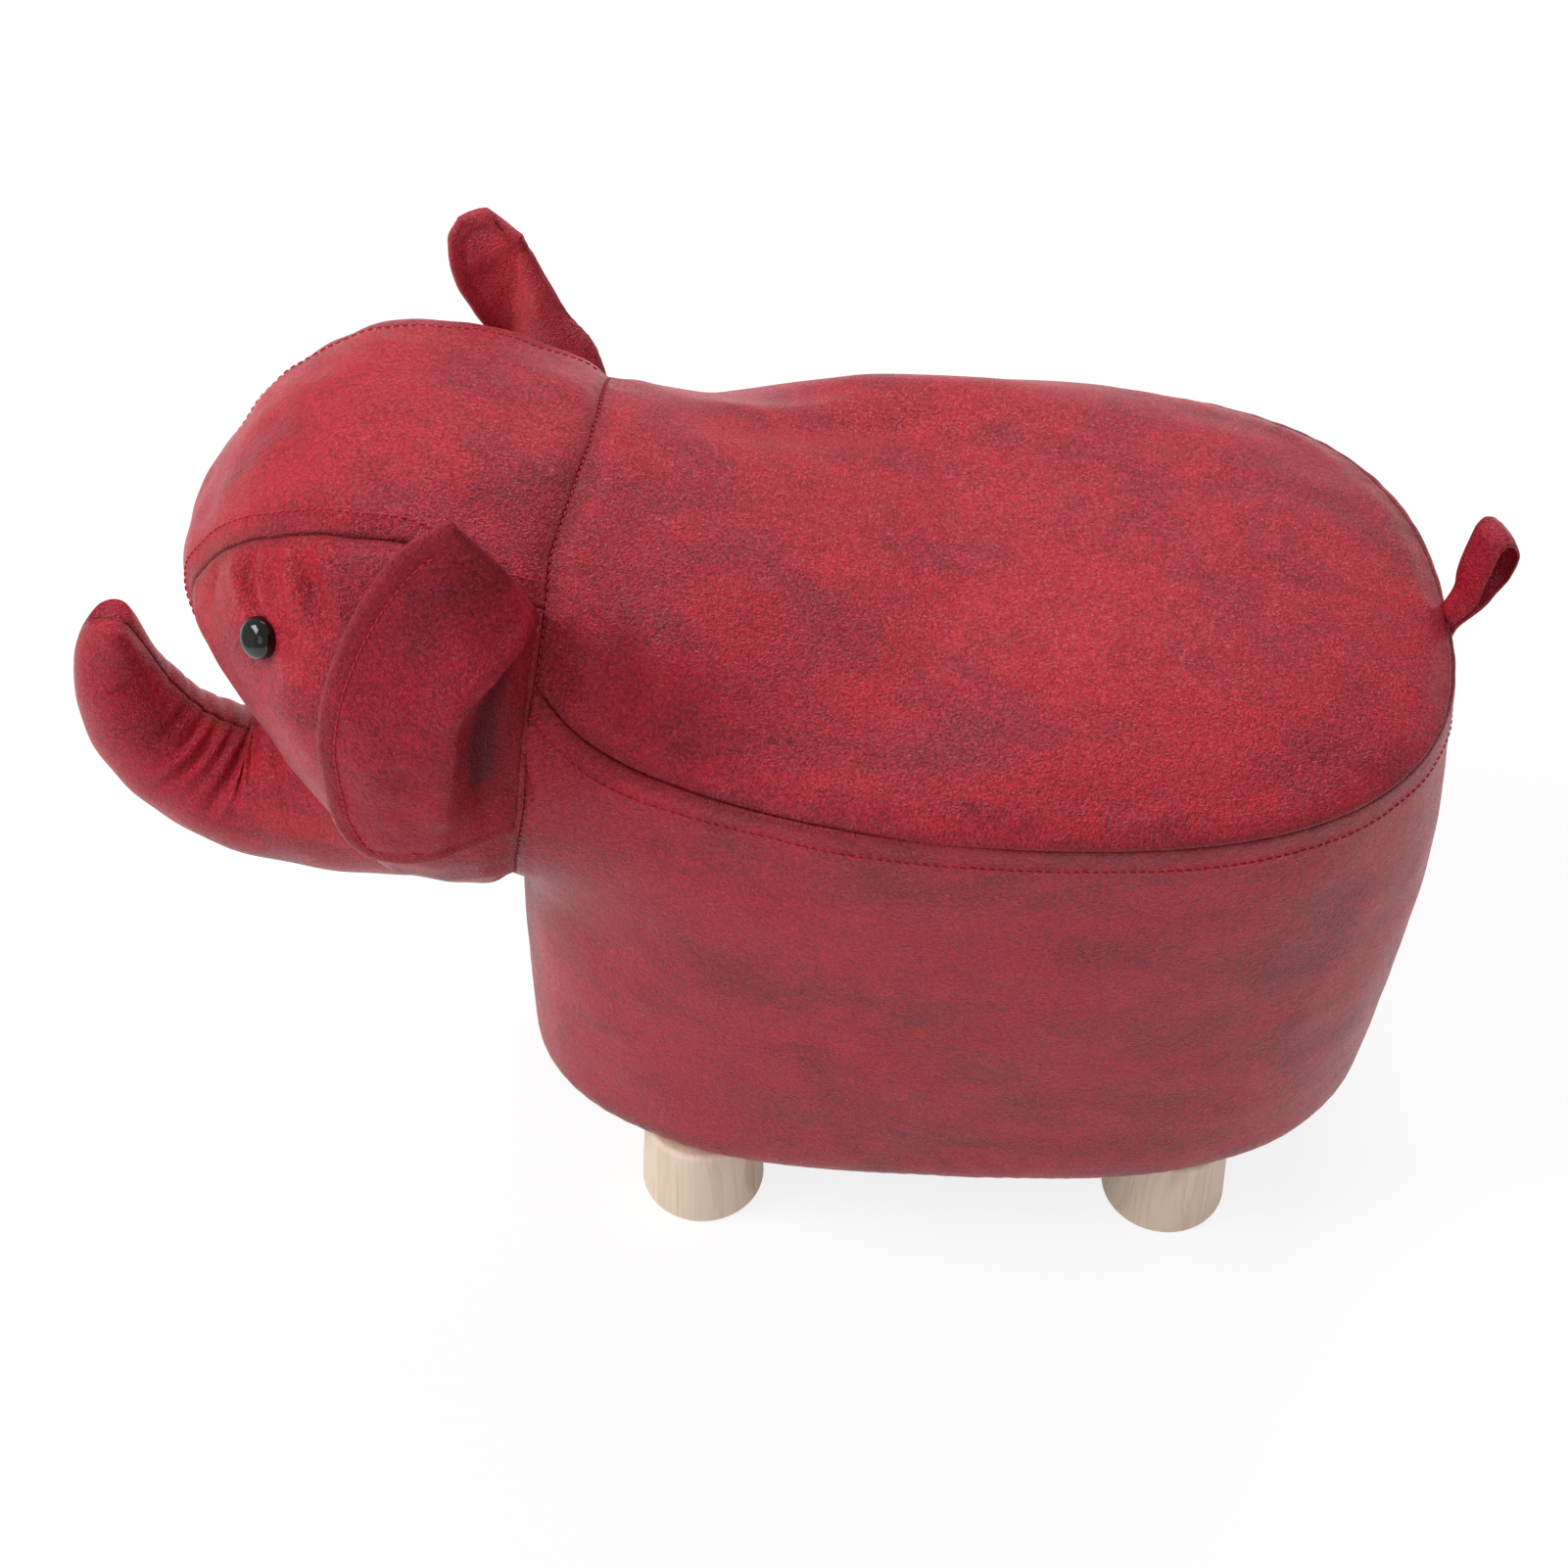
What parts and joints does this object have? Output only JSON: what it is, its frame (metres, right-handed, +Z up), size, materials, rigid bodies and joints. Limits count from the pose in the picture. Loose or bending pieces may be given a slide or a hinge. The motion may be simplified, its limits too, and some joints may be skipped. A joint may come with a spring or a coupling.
{
  "type": "upholstered elephant footstool",
  "caption": "Padded animal footstool with stuffed head, curled trunk, soft ears, strap tail and short turned legs.",
  "frame": {"origin": "on the floor under the middle of the bounding box", "axes": "+X from the head to the tail, +Y to the animal's right, +Z up"},
  "size_m": [0.6168, 0.2926, 0.4289],
  "materials": {
    "faux_leather": "distressed red faux leather, fine pebble, soft sheen",
    "foam": "open-cell foam",
    "fibre_fill": "white fibre fill",
    "plywood": "raw plywood",
    "hardboard": "raw hardboard",
    "softwood": "sawn softwood",
    "pine": "turned pale pine, matt",
    "zinc_steel": "zinc-plated",
    "black_cloth": "black nonwoven cloth",
    "black_eye": "glossy black",
    "washer_plastic": "white plastic"
  },
  "bodies": {
    "stool": {"seat_cover": "faux_leather", "side_cover": "faux_leather", "head_crown_panel": "faux_leather", "cheek_panel_left": "faux_leather", "cheek_panel_right": "faux_leather", "trunk_panel_left": "faux_leather", "trunk_panel_right": "faux_leather", "seat_foam": "foam", "front_pad": "foam", "rear_pad": "foam", "left_pad": "foam", "right_pad": "foam", "head_stuffing": "fibre_fill", "trunk_stuffing": "fibre_fill", "seat_board": "plywood", "base_board": "plywood", "frame_wall": "hardboard", "post_nose": "softwood", "post_tail": "softwood", "post_front_left": "softwood", "post_front_right": "softwood", "post_rear_left": "softwood", "post_rear_right": "softwood", "leg_front_left": "pine", "hanger_bolt_front_left": "zinc_steel", "tee_nut_front_left": "zinc_steel", "leg_front_right": "pine", "hanger_bolt_front_right": "zinc_steel", "tee_nut_front_right": "zinc_steel", "leg_rear_left": "pine", "hanger_bolt_rear_left": "zinc_steel", "tee_nut_rear_left": "zinc_steel", "leg_rear_right": "pine", "hanger_bolt_rear_right": "zinc_steel", "tee_nut_rear_right": "zinc_steel", "post_screws_base": "zinc_steel", "post_screws_top": "zinc_steel", "cover_staples": "zinc_steel", "dust_cover_staples": "zinc_steel", "dust_cover": "black_cloth", "eye_left": "black_eye", "eye_washer_left": "washer_plastic", "eye_right": "black_eye", "eye_washer_right": "washer_plastic"},
    "ear_left": {"ear_left_outer_skin": "faux_leather", "ear_left_padding": "fibre_fill", "ear_left_inner_skin": "faux_leather"},
    "ear_right": {"ear_right_outer_skin": "faux_leather", "ear_right_padding": "fibre_fill", "ear_right_inner_skin": "faux_leather"},
    "tail": {"tail_loop": "faux_leather"}
  },
  "joints": [
    {"name": "ear_left_fold", "type": "hinge", "parent": "stool", "child": "ear_left", "pos_m": [-0.078, -0.113, 0.316], "axis": [0.1245, 0.2586, 0.9579], "range_deg": [0, 50], "stiffness_Nm_per_rad": 0.15},
    {"name": "ear_right_fold", "type": "hinge", "parent": "stool", "child": "ear_right", "pos_m": [-0.078, 0.113, 0.316], "axis": [-0.1245, 0.2586, -0.9579], "range_deg": [0, 45], "stiffness_Nm_per_rad": 0.15},
    {"name": "tail_fold", "type": "hinge", "parent": "stool", "child": "tail", "pos_m": [0.29, -0.009, 0.3074], "axis": [-0.4226, 0.9063, 0], "range_deg": [-15, 60], "stiffness_Nm_per_rad": 0.05}
  ]
}
